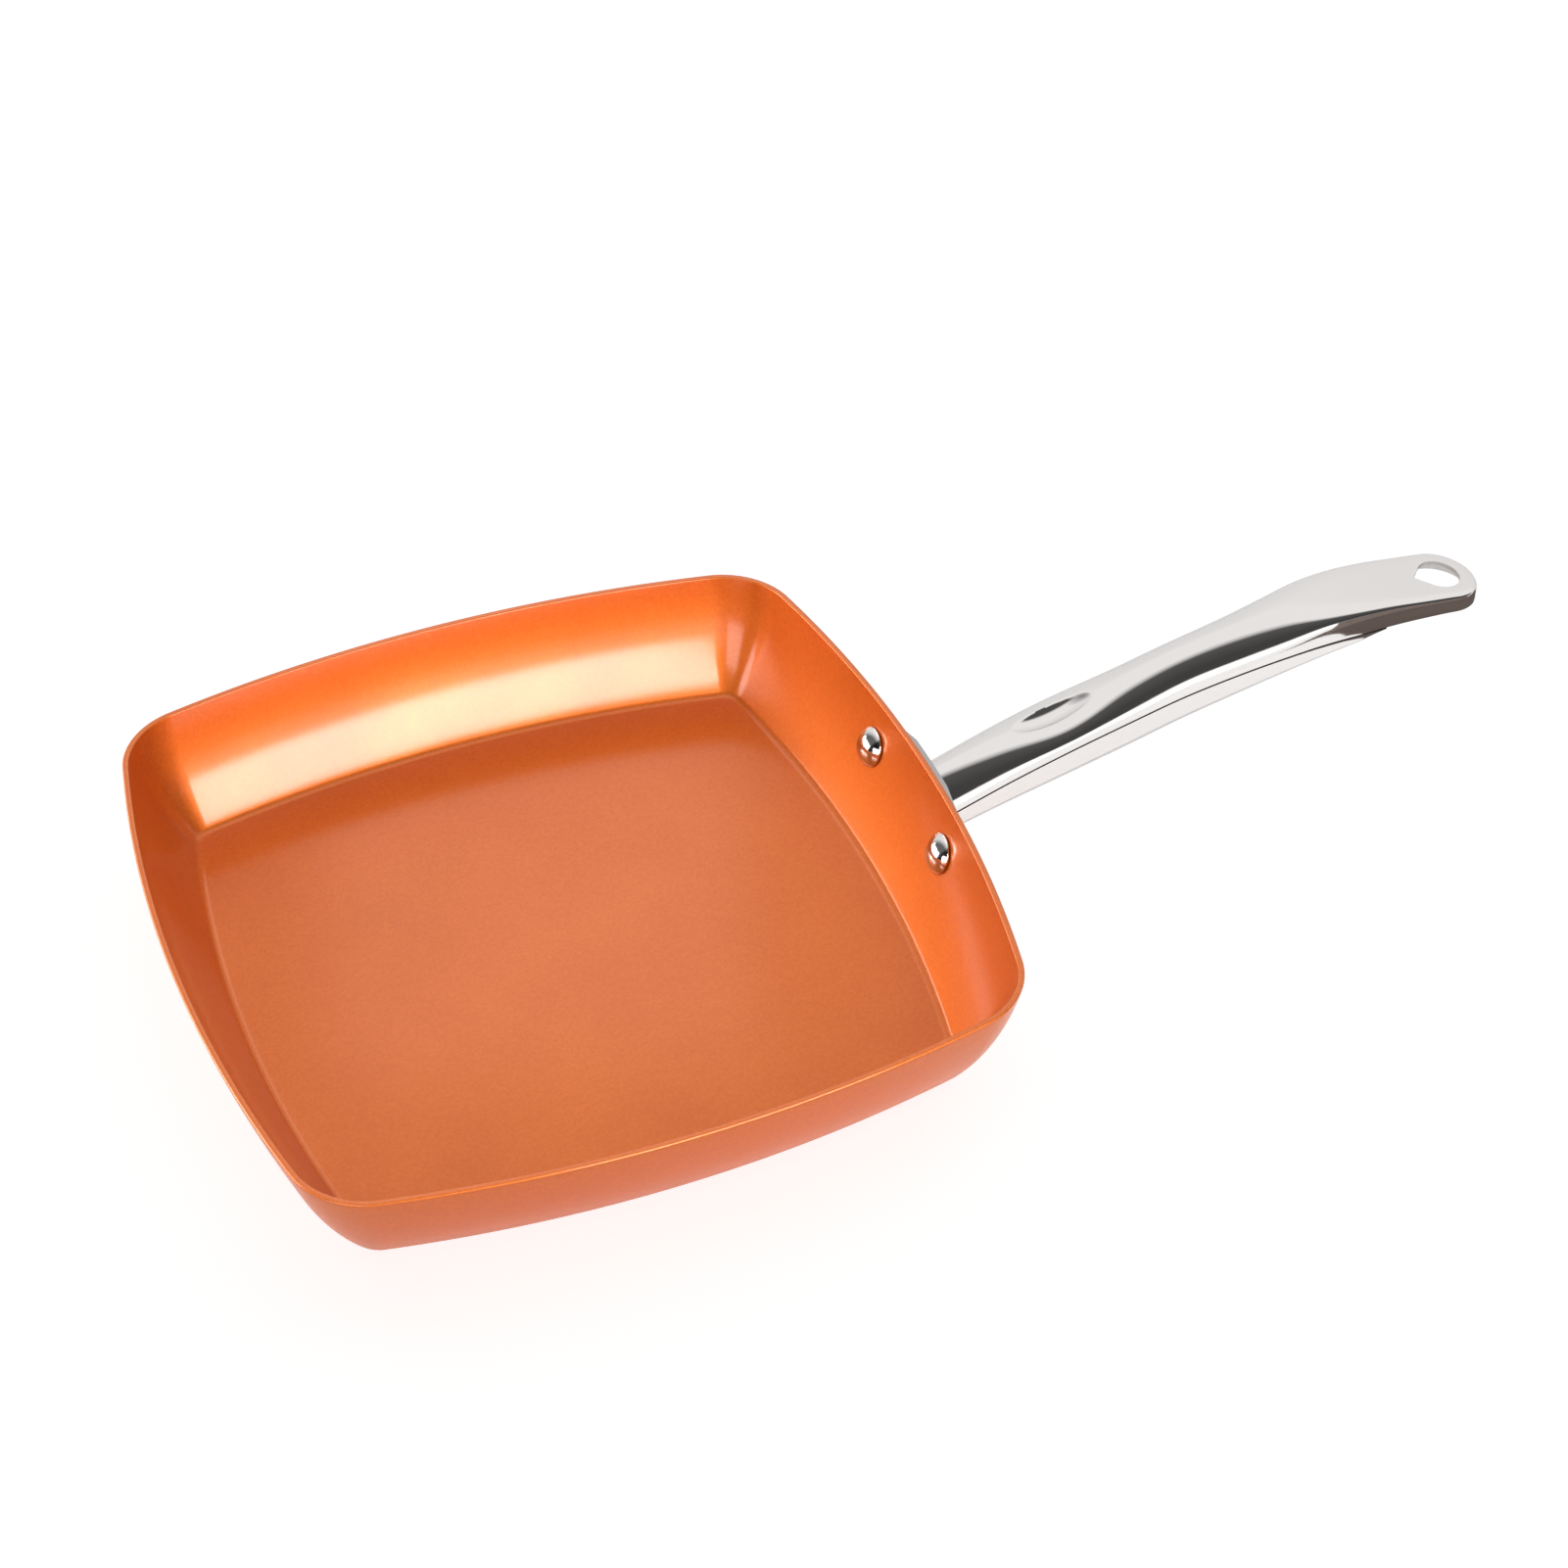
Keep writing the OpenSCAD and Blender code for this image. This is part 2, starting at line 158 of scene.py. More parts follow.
class Studio(bpy.types.PropertyGroup):
    """Strengths of the studio's lights"""

    surroundings: FloatProperty(name="Surroundings", description="Brightness of the studio", default=1.3,
                                min=0.0)
    left_share: fraction("Left share", "Brightness of the left side", 0.15)
    right_share: fraction("Right share", "Brightness of the low right side", 0.2)
    table_glow: fraction("Table glow", "Glow of the table that reflections meet", 0.28)
    card_glow: fraction("Card glow", "Glow of the white card by the handle", 0.6)
    front: watts("Beside the camera", "Power of the softbox beside the camera", 4.9)
    behind: watts("Behind", "Power of the softbox behind the pan", 0.16)
    back_left: watts("Back left", "Power of the softbox at the back left", 3.4)
    left: watts("Left", "Power of the low softbox at the left", 4.6)
    front_left: watts("Front left", "Power of the low softbox at the front left", 2.2)
    above: watts("Above", "Power of the softbox above the pan", 0.24)


def settings():
    """The scene, which holds the groups of sizes and colours"""
    return bpy.context.scene


# Materials

# The part of a noise's range in which nearly all of it lies
NOISE_RANGE = (0.3, 0.7)


class Finish:
    """A material made of nodes, with short ways to add and join them"""

    def __init__(self, owner, shader="Principled BSDF", place="Object"):
        self.material = owner
        self.material.use_nodes = True
        self.nodes = self.material.node_tree.nodes
        self.links = self.material.node_tree.links
        self.shader = self.nodes[shader]
        self.place = self.nodes.new("ShaderNodeTexCoord").outputs[place]

    @classmethod
    def named(cls, name):
        """A new material"""
        return cls(bpy.data.materials.new(name))

    @classmethod
    def of_world(cls, world):
        """The surroundings, whose place is the direction one looks in"""
        return cls(world, "Background", "Generated")

    def node(self, kind, inputs=(), **attributes):
        """A new node, with values or other nodes' outputs as inputs"""
        made = self.nodes.new("ShaderNode" + kind)
        for key, value in attributes.items():
            setattr(made, key, value)
        for key, value in dict(inputs).items():
            if isinstance(value, bpy.types.NodeSocket):
                self.links.new(value, made.inputs[key])
            else:
                made.inputs[key].default_value = value
        return made

    def math(self, operation, first, second=0.0):
        """The result of a calculation with one or two values"""
        return self.node("Math", {0: first, 1: second}, operation=operation).outputs[0]

    def noise(self, scale, detail=2.0, roughness=0.5, place=None):
        """A noise at a place: the greater the scale, the finer the noise"""
        return self.node("TexNoise", {"Vector": place or self.place, "Scale": scale, "Detail": detail,
                                      "Roughness": roughness}).outputs["Fac"]

    def apart(self):
        """The parts of the place by their axes' names"""
        return self.node("SeparateXYZ", {0: self.place}).outputs

    def stretched(self, *scale):
        """The place with its axes scaled, for marks that run one way"""
        return self.node("Mapping", {"Vector": self.place, "Scale": scale}).outputs["Vector"]

    def ramp(self, value, low, high, to_low=0.0, to_high=1.0):
        """A value brought from one range to another"""
        return self.node("MapRange", {"Value": value, "From Min": low, "From Max": high, "To Min": to_low,
                                      "To Max": to_high}).outputs["Result"]

    def spread(self, noise, to_low=0.0, to_high=1.0):
        """A noise brought from its usual range to another"""
        return self.ramp(noise, *NOISE_RANGE, to_low, to_high)

    def blend(self, share, first, second):
        """A colour between two"""
        made = self.node("Mix", {"Factor": share}, data_type="RGBA")
        for socket, value in ((made.inputs[6], first), (made.inputs[7], second)):
            if isinstance(value, bpy.types.NodeSocket):
                self.links.new(value, socket)
            else:
                socket.default_value = (*value, 1.0)
        return made.outputs[2]

    def bump(self, height, strength, distance, after=None):
        """The normal of a bumpy skin, over another one's if that is given"""
        inputs = {"Height": height, "Strength": strength, "Distance": distance}
        if after is not None:
            inputs["Normal"] = after
        return self.node("Bump", inputs).outputs["Normal"]

    def set(self, **values):
        """Sets or joins the shader's inputs and gives the finished material"""
        for key, value in values.items():
            socket = self.shader.inputs[key.replace("_", " ")]
            if isinstance(value, bpy.types.NodeSocket):
                self.links.new(value, socket)
            else:
                socket.default_value = (*value, 1.0) if isinstance(value, tuple) else value
        return self.material


def coating_finish():
    """Metallic ceramic coating: satin copper with fine flakes, under a thin glossy skin"""
    colours, floor = settings().pan_colours, settings().pan_sizes.floor_height
    f = Finish.named("copper_ceramic_coating")
    flakes = f.node("TexVoronoi", {"Vector": f.place, "Scale": 2400.0}, feature="F1")
    sparkle = f.node("SeparateColor", {0: flakes.outputs["Color"]}).outputs[0]
    grain = f.noise(900.0, 3.0, 0.6)
    cloud = f.noise(24.0, 3.0, 0.55)
    fleck = f.math("ADD", f.ramp(sparkle, 0.0, 1.0, -0.25, 0.25), f.spread(grain, 0.15, 0.75))
    colour = f.blend(fleck, tuple(colours.coating_deep), tuple(colours.coating))
    roughness = f.math("ADD", f.spread(cloud, 0.46, 0.54), f.ramp(sparkle, 0.0, 1.0, -0.05, 0.05))
    dents = f.bump(f.noise(1500.0, 1.0), 0.1, 0.00005, f.bump(grain, 0.12, 0.00006))
    # The cooking surface gets less of the skin than the walls, to match the photo's deeper orange there
    skin_start, skin_end = floor + 0.0004, floor + 0.0033
    skin = f.ramp(f.apart()["Z"], skin_start, skin_end, colours.floor_skin, colours.wall_skin)
    return f.set(Base_Color=colour, Metallic=0.8, Roughness=roughness, Normal=dents, Coat_Weight=skin,
                 Coat_Roughness=0.15, Coat_IOR=1.52)


def polished_finish():
    """Mirror-polished stainless steel with faint wiping marks along the handle"""
    f = Finish.named("polished_steel")
    marks = f.noise(1.0, 3.0, 0.6, f.stretched(30.0, 900.0, 900.0))
    haze = f.noise(60.0, 2.0, 0.5)
    roughness = f.math("ADD", f.ramp(marks, 0.35, 0.75, 0.045, 0.085), f.ramp(haze, 0.4, 0.8, 0.0, 0.03))
    return f.set(Base_Color=tuple(settings().pan_colours.steel), Metallic=1.0, Roughness=roughness,
                 Normal=f.bump(marks, 0.02, 0.00003))


def rivet_finish():
    """Polished rivet heads with fine marks of the setting tool"""
    f = Finish.named("rivet_steel")
    marks = f.noise(420.0, 3.0, 0.6)
    return f.set(Base_Color=tuple(settings().pan_colours.steel), Metallic=1.0,
                 Roughness=f.spread(marks, 0.06, 0.14), Normal=f.bump(marks, 0.03, 0.00004))


def joint_shade_finish():
    """Painted shade of the narrow groove between the two shells, near-black with a fine grain"""
    f = Finish.named("dark_joint")
    grain = f.noise(700.0, 3.0, 0.6)
    # Painted shade: near-black, standing in for the shadow in the groove between the shells
    colour = f.blend(f.spread(grain), (0.04, 0.038, 0.036), (0.09, 0.085, 0.08))
    return f.set(Base_Color=colour, Metallic=0.6, Roughness=f.spread(grain, 0.4, 0.6),
                 Normal=f.bump(grain, 0.2, 0.00005))


def cut_shade_and_light_finish():
    """Matt cut edge of the hanging hole and inside of the sheet, with painted shade towards the pan and
    painted light near the tip
    """
    f = Finish.named("cut_edge")
    middle = settings().handle_sizes.tip - settings().handle_sizes.hole_back
    # Painted shade: dark at the hole's point and along the inside towards the pan; painted light: near-white
    # near the tip, where the inside shows through the hole
    dark, light = middle - 0.006, middle - 0.001
    grain = f.noise(800.0, 3.0, 0.6)
    painted_lightness = f.math("ADD", f.ramp(f.apart()["X"], dark, light), f.spread(grain, -0.1, 0.1))
    colour = f.blend(painted_lightness, (0.2, 0.18, 0.17), (0.92, 0.9, 0.88))
    return f.set(Base_Color=colour, Roughness=f.spread(grain, 0.45, 0.6), Normal=f.bump(grain, 0.1, 0.00004))


def satin_finish():
    """Satin steel of the bracket, finely scratched upwards"""
    f = Finish.named("satin_steel")
    marks = f.noise(1.0, 4.0, 0.65, f.stretched(1200.0, 1200.0, 60.0))
    return f.set(Base_Color=tuple(settings().pan_colours.satin), Metallic=1.0,
                 Roughness=f.spread(marks, 0.18, 0.32), Normal=f.bump(marks, 0.1, 0.00005))


def disc_finish():
    """Brushed steel disc with turning marks round its middle"""
    f = Finish.named("turned_steel")
    place = f.apart()
    radius = f.math("SQRT", f.math("ADD", f.math("POWER", place["X"], 2.0), f.math("POWER", place["Y"], 2.0)))
    rings = f.noise(1.0, 4.0, 0.7, f.node("CombineXYZ", {"X": f.math("MULTIPLY", radius, 2600.0)}).outputs[0])
    wear = f.noise(45.0, 3.0, 0.6)
    colour = f.blend(f.ramp(wear, 0.35, 0.75), tuple(settings().pan_colours.brushed), (0.7, 0.7, 0.71))
    return f.set(Base_Color=colour, Metallic=1.0, Roughness=f.spread(rings, 0.22, 0.4),
                 Normal=f.bump(rings, 0.15, 0.00005))


def table_finish(name, shade, glow):
    """Pale matt card that glows, for the tables and the white card"""
    f = Finish.named(name)
    colour = f.blend(f.spread(f.noise(3.0, 3.0)), (shade,) * 3, (shade * 1.02,) * 3)
    return f.set(Base_Color=colour, Roughness=0.7, Specular_IOR_Level=0.2, Emission_Color=(1.0, 1.0, 1.0),
                 Emission_Strength=glow)


def shadow_card_finish():
    """Brown card, seen only in reflections: a painted shadow of the handle on the table, which darkens the
    mirrored side of the handle's end
    """
    f = Finish.named("brown_card")
    # Painted shadow: brown-grey, like the handle's shadow on the table
    colour = f.blend(f.spread(f.noise(8.0, 3.0)), (0.2, 0.15, 0.13), (0.26, 0.2, 0.175))
    return f.set(Base_Color=colour, Roughness=0.8)


# Shapes

# Distances at which points become one: within a piece, and between the quarters of the pan
WELD = 1e-6
QUARTER_WELD = 2e-5
# Rings that keep the shading of the turned edges off the flat floor and underside, as shares of their size
FLAT_RINGS = (0.985, 0.9)


def new_object(name, bm, *materials):
    """Puts a bmesh into the scene as an object and frees it"""
    mesh = bpy.data.meshes.new(name)
    bm.to_mesh(mesh)
    bm.free()
    for material in materials:
        mesh.materials.append(material)
    made = bpy.data.objects.new(name, mesh)
    bpy.context.scene.collection.objects.link(made)
    return made


def finish_piece(bm, name, material, replaces):
    """Turns a bmesh into a smooth piece that rides on the pan"""
    for face in bm.faces:
        face.smooth = True
    piece = new_object(name, bm, material)
    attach(piece, "root")
    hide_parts(*replaces)
    return piece


def angle_smooth(piece, degrees):
    """Keeps edges sharper than an angle crisp"""
    bm = bmesh.new()
    bm.from_mesh(piece.data)
    for edge in bm.edges:
        edge.smooth = edge.is_boundary or edge.calc_face_angle(0.0) < math.radians(degrees)
    bm.to_mesh(piece.data)
    bm.free()


def arc_points(middle, radius, start, end, steps):
    """Points of an arc, from the side that faces away from the pan's middle"""
    turns = [start + (end - start) * i / steps for i in range(steps + 1)]
    return [middle - radius * Vector((math.cos(b), math.sin(b))) for b in turns]


def arc_middle(top, foot_middle, foot, bow):
    """Middle of the wall arc that starts at the rim and runs into the foot's arc without a corner"""
    gap = foot_middle - top
    far = gap.length
    along = gap / far
    a = (bow * bow - (bow - foot) ** 2 + far * far) / (2 * far)
    return top + a * along + math.sqrt(bow * bow - a * a) * Vector((-along.y, along.x))


def lean(middle, point):
    """Turn of an arc's point, as arc_points counts it"""
    return math.atan2(middle.y - point.y, middle.x - point.x)


def wall_side(s, inside=False):
    """One side of the wall, as insets and heights: its top, then middle and radius of its arc and its foot"""
    foot, bow = (s.inner_foot, s.inner_wall_bow) if inside else (s.foot, s.wall_bow)
    inset = s.rim_width if inside else 0.0
    corner, level = (s.floor_corner, s.floor_height) if inside else (s.base_corner, 0.0)
    top = Vector((inset, s.height - s.rim_edge))
    foot_middle = Vector((s.corner_radius - corner, level + foot))
    return top, arc_middle(top, foot_middle, foot, bow), bow, foot_middle, foot


def pan_section(s, wall_steps=28, foot_steps=12, edge_steps=5):
    """The wall's section as insets from the rim and heights, from the underside over the rim to the floor"""
    quarter = math.pi / 2
    sides = []
    for inside, way in ((False, 1), (True, -1)):
        top, middle, bow, foot_middle, foot = wall_side(s, inside)
        edge_middle = top + Vector((way * s.rim_edge, 0.0))
        meet = lean(middle, foot_middle)
        sides.append(arc_points(edge_middle, s.rim_edge, -quarter, (way - 1) * quarter, edge_steps)[:-1]
                     + arc_points(middle, bow, lean(middle, top), meet, wall_steps)
                     + arc_points(foot_middle, foot, meet, quarter, foot_steps)[1:])
    return sides[0][::-1] + sides[1]


def corner_place(s):
    """Distance of a corner arc's middle from the pan's middle planes, and half the turn of a side"""
    side_x = s.half_width - s.side_radius
    plate = s.side_radius - s.corner_radius
    corner = (2 * side_x + math.sqrt(8 * plate * plate - 4 * side_x * side_x)) / 4
    return corner, math.atan2(corner, corner - side_x)


def new_points(made):
    """The points among what an operator made"""
    return [item for item in made if isinstance(item, bmesh.types.BMVert)]


def border(items):
    """The edges with one face among what an operator made"""
    return [item for item in items if isinstance(item, bmesh.types.BMEdge) and item.is_boundary]


def edges_of(points):
    """The edges at points, each once and in the same order every time"""
    return list(dict.fromkeys(edge for point in points for edge in point.link_edges))


def add_mesh(bm, other):
    """Adds another bmesh to this one and frees it"""
    mesh = bpy.data.meshes.new("part")
    other.to_mesh(mesh)
    other.free()
    bm.from_mesh(mesh)
    bpy.data.meshes.remove(mesh)


def build_pan(s, side_steps=48, corner_steps=24):
    """The pan: its section spun round a side and a corner, four times over, then floor and underside"""
    bm = bmesh.new()
    corner, half_turn = corner_place(s)
    side_middle = Vector((s.half_width - s.side_radius, 0.0, 0.0))
    turned = Matrix.Rotation(-half_turn, 3, "Z")
    row = [bm.verts.new(side_middle + turned @ Vector((s.side_radius - point.x, 0.0, point.y)))
           for point in pan_section(s)]
    geometry = row + [bm.edges.new(pair) for pair in zip(row, row[1:])]
    for centre, turn, steps in ((side_middle, 2 * half_turn, side_steps),
                                (Vector((corner, corner, 0.0)), math.pi / 2 - 2 * half_turn, corner_steps)):
        geometry = bmesh.ops.spin(bm, geom=geometry, cent=centre, axis=(0, 0, 1), angle=turn, steps=steps,
                                  use_merge=False, use_duplicate=False)["geom_last"]
    quarter = bm.verts[:] + bm.edges[:] + bm.faces[:]
    for turn in range(1, 4):
        copied = bmesh.ops.duplicate(bm, geom=quarter)["geom"]
        bmesh.ops.rotate(bm, cent=(0, 0, 0), matrix=Matrix.Rotation(turn * math.pi / 2, 3, "Z"),
                         verts=new_points(copied))
    bmesh.ops.remove_doubles(bm, verts=bm.verts, dist=QUARTER_WELD)
    add_mesh(bm, base_recess(s))
    # The recess is left out, so that the rings start at the underside's border
    past_disc = s.disc_diameter / 2 * 1.1
    for height in (s.floor_height, 0.0):
        loop = [e for e in bm.edges if e.is_boundary and all(abs(v.co.z - height) < WELD for v in e.verts)
                and min(v.co.xy.length for v in e.verts) > past_disc]
        for size in FLAT_RINGS:
            made = bmesh.ops.extrude_edge_only(bm, edges=loop)["geom"]
            bmesh.ops.scale(bm, vec=(size, size, 1.0), verts=new_points(made))
            loop = border(made)
        if height > 0:
            bmesh.ops.poke(bm, faces=bmesh.ops.edgeloop_fill(bm, edges=loop)["faces"])
        else:
            bmesh.ops.bridge_loops(bm, edges=[e for e in bm.edges if e.is_boundary])
    bmesh.ops.recalc_face_normals(bm, faces=bm.faces)
    return bm


def base_recess(s, segments=288, stud_segments=16, rows=3):
    """The round recess in the underside: its wall, its roof, and the studs that fill the disc's holes"""
    bm = bmesh.new()

    def raised(edges):
        """Raises edges of the underside to the roof, and gives their copies there"""
        made = bmesh.ops.extrude_edge_only(bm, edges=edges)["geom"]
        bmesh.ops.translate(bm, vec=(0, 0, s.disc_depth), verts=new_points(made))
        return [e for e in border(made) if e.verts[0].co.z > 0]

    circle = bmesh.ops.create_circle(bm, segments=segments, radius=s.disc_diameter / 2)["verts"]
    roof = raised(edges_of(circle))
    for row in range(1, rows + 1):
        for i in range(s.studs * row):
            turn = 2 * math.pi * i / (s.studs * row)
            out = s.stud_row * row
            place = Matrix.Translation((out * math.cos(turn), out * math.sin(turn), 0.0))
            cap = bmesh.ops.create_circle(bm, cap_ends=True, segments=stud_segments,
                                          radius=s.stud_diameter / 2, matrix=place)["verts"]
            roof += raised(border(edges_of(cap)))
    bmesh.ops.triangle_fill(bm, use_beauty=True, use_dissolve=False, edges=roof, normal=(0, 0, -1))
    return bm


# Places along the handle as shares of its length, and there: the seam's rise, the width, how far the height
# has gone from the pan's to the end's, how full the arch's edge is, and the lower shell's depth
ALONG = (0, 0.09, 0.19, 0.29, 0.39, 0.48, 0.58, 0.66, 0.71, 0.77, 0.83, 0.89, 0.94, 1)
RISE = (0, 0.175, 0.375, 0.545, 0.675, 0.79, 0.895, 0.97, 1, 1.01, 1.01, 0.99, 0.965, 0.91)
WIDTH = (0.86, 0.86, 0.87, 0.88, 0.84, 0.82, 0.87, 0.95, 0.98, 1, 0.99, 0.975, 0.965, 0.96)
FLAT = (-0.3, -0.3, 0.1, 0.66, 0.08, -0.2, -0.22, -0.15, 0.05, 0.25, 0.52, 0.8, 0.93, 1)
EDGE = (1.35, 1.3, 1.1, 0.87, 1.1, 1.1, 1.05, 0.85, 0.52, 0.33, 0.26, 0.22, 0.22, 0.22)
DEPTH = (0.85, 0.98, 1.15, 1.26, 1.26, 1.2, 1.07, 0.9, 0.76, 0.52, 0.2, 0.12, 0.12, 0.12)
# How full the lower arch's edge is, all along the handle
LOWER_EDGE = 0.75
# The lower shell's end: its depth in sheets, and how fast it deepens from there
END_DEPTH = 1.25
END_SLOPE = 0.5
# Least depth of the lower shell's inside, in sheets
LEAST_DEPTH = 0.25
# Share of the way across an arch that each rounded sheet edge takes
LIP = 0.06
# Shares of the way along a shell: where the upper one's rounded tip begins, and where the bracket is behind
BODY = 0.88
PAN_END = 0.12


def between(values, place):
    """A value between the places, on one smooth curve"""
    i = max(k for k in range(len(ALONG) - 1) if ALONG[k] <= place or k == 0)

    def steep(k):
        """Slope of the values at a place of the table"""
        low, high = max(k - 1, 0), min(k + 1, len(ALONG) - 1)
        return (values[high] - values[low]) / (ALONG[high] - ALONG[low])

    width = ALONG[i + 1] - ALONG[i]
    t = (place - ALONG[i]) / width
    return (values[i] * (1 + 2 * t) * (1 - t) ** 2 + values[i + 1] * t * t * (3 - 2 * t)
            + width * t * (1 - t) * (steep(i) * (1 - t) - steep(i + 1) * t))


@lru_cache(maxsize=None)
def eased(place, easing):
    """The five tables at a place, each eased over a short stretch so that the polish shows no kink"""
    weights = ((-2, 1), (-1, 4), (0, 6), (1, 4), (2, 1))
    steps = [(weight / 16, place + step * easing) for step, weight in weights]
    return [sum(weight * between(values, near) for weight, near in steps)
            for values in (WIDTH, RISE, FLAT, EDGE, DEPTH)]


def section(s, x):
    """The handle's section at x: half width, height of the seam, the upper and lower arch's heights, edge"""
    run = s.tip - s.root
    half, seam, flat, edge, deep = eased((x - s.root) / run, s.easing / run)
    return (s.width / 2 * half, s.root_height + s.rise * seam, s.upper + (s.end - s.upper) * flat,
            s.lower * deep, edge)


def top_height(s, x):
    """Height of the handle's top at x, without the dimple"""
    _, seam, high, _, _ = section(s, x)
    return seam + high


def arch_point(half, high, edge, across, rounding):
    """Share of the half width, and height from the seam, across an arch whose sheet edges are rounded"""
    side = 1.0 if across < 0.5 else -1.0
    near = min(across, 1.0 - across)
    if rounding and near < LIP:
        turn = near / LIP * math.pi / 2
        height = rounding * (1 - math.cos(turn))
        arch = (1 - (height / high) ** (2 / edge)) ** (edge / 2)
        return side * (arch - rounding * (1 - math.sin(turn)) / half), height
    start = math.asin((rounding / high) ** (1 / edge)) if rounding else 0.0
    turn = start + (math.pi / 2 - start) * (near - LIP) / (0.5 - LIP) if rounding else math.pi * near
    return side * max(0.0, math.cos(turn)) ** edge, high * math.sin(turn) ** edge


def bracket_face(s, y, z):
    """How far out the bracket's outer face stands at a place"""
    p = settings().pan_sizes
    middle = wall_side(p)[1]
    inset = middle.x - math.sqrt((p.wall_bow + s.bracket) ** 2 - (middle.y - z) ** 2)
    return p.half_width - p.side_radius + math.sqrt((p.side_radius - inset) ** 2 - y * y)


def clear_of_bracket(s, point, along):
    """Keeps a point of a shell's pan end from going deeper into the bracket than it should"""
    if along < PAN_END:
        point.x = max(point.x, bracket_face(s, point.y, point.z) - s.into_bracket)


def dimple_height(s, x, y):
    """Height over the handle's top of the round-edged wheel that presses the thumb dimple"""
    if abs(y) >= s.dimple_cross or abs(x - s.dimple_place) > s.dimple_run / 2:
        return s.dimple_run
    reach = s.dimple_run - s.dimple_cross + math.sqrt(s.dimple_cross ** 2 - y * y)
    return s.dimple_run - s.dimple_depth - math.sqrt(reach ** 2 - (x - s.dimple_place) ** 2)


def lower_of(first, second, rounding):
    """The lower of two heights, with the change from one to the other rounded"""
    near = max(0.0, 1.0 - abs(first - second) / rounding)
    return min(first, second) - near * near * rounding / 4


def upper_place(s, inset, along, across):
    """A point of the upper shell's skin: an arch along the handle, turned round the tip at its end"""
    tip_start = s.tip - s.tip_round
    turn = max(0.0, along - BODY) / (1 - BODY) * math.pi / 2
    x = s.root + (tip_start - s.root) * min(1.0, along / BODY)
    half, seam, high, _, edge = section(s, x)
    side, height = arch_point(half - inset, high - inset, edge, across, 0.0 if inset else s.seam_edge)
    if turn > 0:
        x += (s.tip_round - inset) * math.sin(turn) * abs(side)
        half, seam, high, _, _ = section(s, x)
        height *= (high - inset) / (section(s, tip_start)[2] - inset)
    y = -(half - inset) * math.cos(turn) * side
    return Vector((x, y, seam + height))


def upper_skin(s, inset, rows, columns):
    """The upper shell's outer or inner skin, with the thumb dimple pressed in square to the handle's top"""
    reach = 0.01
    top = top_height(s, s.dimple_place)
    slope = (top_height(s, s.dimple_place + reach) - top_height(s, s.dimple_place - reach)) / (2 * reach)

    def place(along, across):
        point = upper_place(s, inset, along, across)
        clear_of_bracket(s, point, along)
        level = top + slope * (point.x - s.dimple_place) - inset
        point.z = lower_of(point.z, level + dimple_height(s, point.x, point.y), s.dimple_edge)
        return point

    return bent_grid(rows, columns, place)


def lower_skin(s, inset, rows, columns):
    """The lower shell's outer or inner skin: an arch below the seam that runs out before the flat end"""
    end = s.tip - s.lower_back

    def place(along, across):
        x = s.root + (end - inset - s.root) * along
        half, seam, _, deep, _ = section(s, x)
        deep = min(deep, s.sheet * END_DEPTH + (end - x) * END_SLOPE)
        deep = max(deep - inset, s.sheet * LEAST_DEPTH)
        side, height = arch_point(half - inset, deep, LOWER_EDGE, across, 0.0 if inset else s.seam_edge)
        point = Vector((x, -(half - inset) * side, seam - height))
        clear_of_bracket(s, point, along)
        return point

    return bent_grid(rows, columns, place)


def bent_grid(rows, columns, place):
    """A grid whose points are laid on a surface: place takes shares along and across"""
    bm = bmesh.new()
    made = bmesh.ops.create_grid(bm, x_segments=rows, y_segments=columns, size=0.5)
    for vertex in made["verts"]:
        vertex.co = place(vertex.co.x + 0.5, vertex.co.y + 0.5)
    bmesh.ops.remove_doubles(bm, verts=bm.verts, dist=WELD)
    return bm


def shell(outside, inside):
    """A closed shell: the outer and inner skins joined along their borders"""
    add_mesh(outside, inside)
    bmesh.ops.bridge_loops(outside, edges=border(outside.edges))
    bmesh.ops.recalc_face_normals(outside, faces=outside.faces)
    return outside


# Operators

# Material slots of a shell: polish, the painted shade of the joint, and the cut edge and inside with their
# painted shade and light
POLISH, JOINT_SHADE, CUT_SHADE_AND_LIGHT = range(3)
# The size of both tables
TABLE_SIZE = (12.0, 12.0)
# The light table that the camera sees
LIGHT_TABLE_LEVEL = -0.0002
LIGHT_TABLE_SHADE = 0.3
LIGHT_TABLE_GLOW = 0.87
# The paler table that reflections and bounced light meet
BOUNCE_LEVEL = -0.0004
BOUNCE_SHADE = 0.88
# Cards beside the handle, the two brown ones a painted shadow of the handle seen in its end: name, middle,
# size, height above the table and turn
CARDS = (("brown_card", (0.45, -0.14), (0.31, 0.34), -0.0003, 0),
         ("standing_card", (0.45, -0.15), (0.31, 0.11), 0.055, 90),
         ("white_card", (0.65, -0.9), (1.04, 1.78), -0.00035, 0))
# Softboxes: name, setting with its power, place, and width and height
SOFTBOXES = (("beside_camera", "front", (0.18, -0.67, 0.35), (0.37, 0.32)),
             ("behind", "behind", (0.155, 0.55, 0.50), (0.22, 0.22)),
             ("back_left", "back_left", (-0.66, 0.58, 0.19), (0.6, 0.3)),
             ("left_low", "left", (-0.9, 0.3, 0.25), (0.6, 0.45)),
             ("front_left", "front_left", (-0.6, -0.55, 0.28), (0.5, 0.35)),
             ("above", "above", (0.1, 0.25, 0.75), (0.4, 0.4)))
# The camera fitted to the photo: place, turn in degrees, lens and sensor in millimetres, and nearest view
CAMERA_PLACE = (-0.239767, -0.775657, 0.798194)
CAMERA_TURN = (48.0931, 0.155, -22.096)
CAMERA_LENS = 84.544
CAMERA_SENSOR = 36.0
CAMERA_NEAR = 0.05
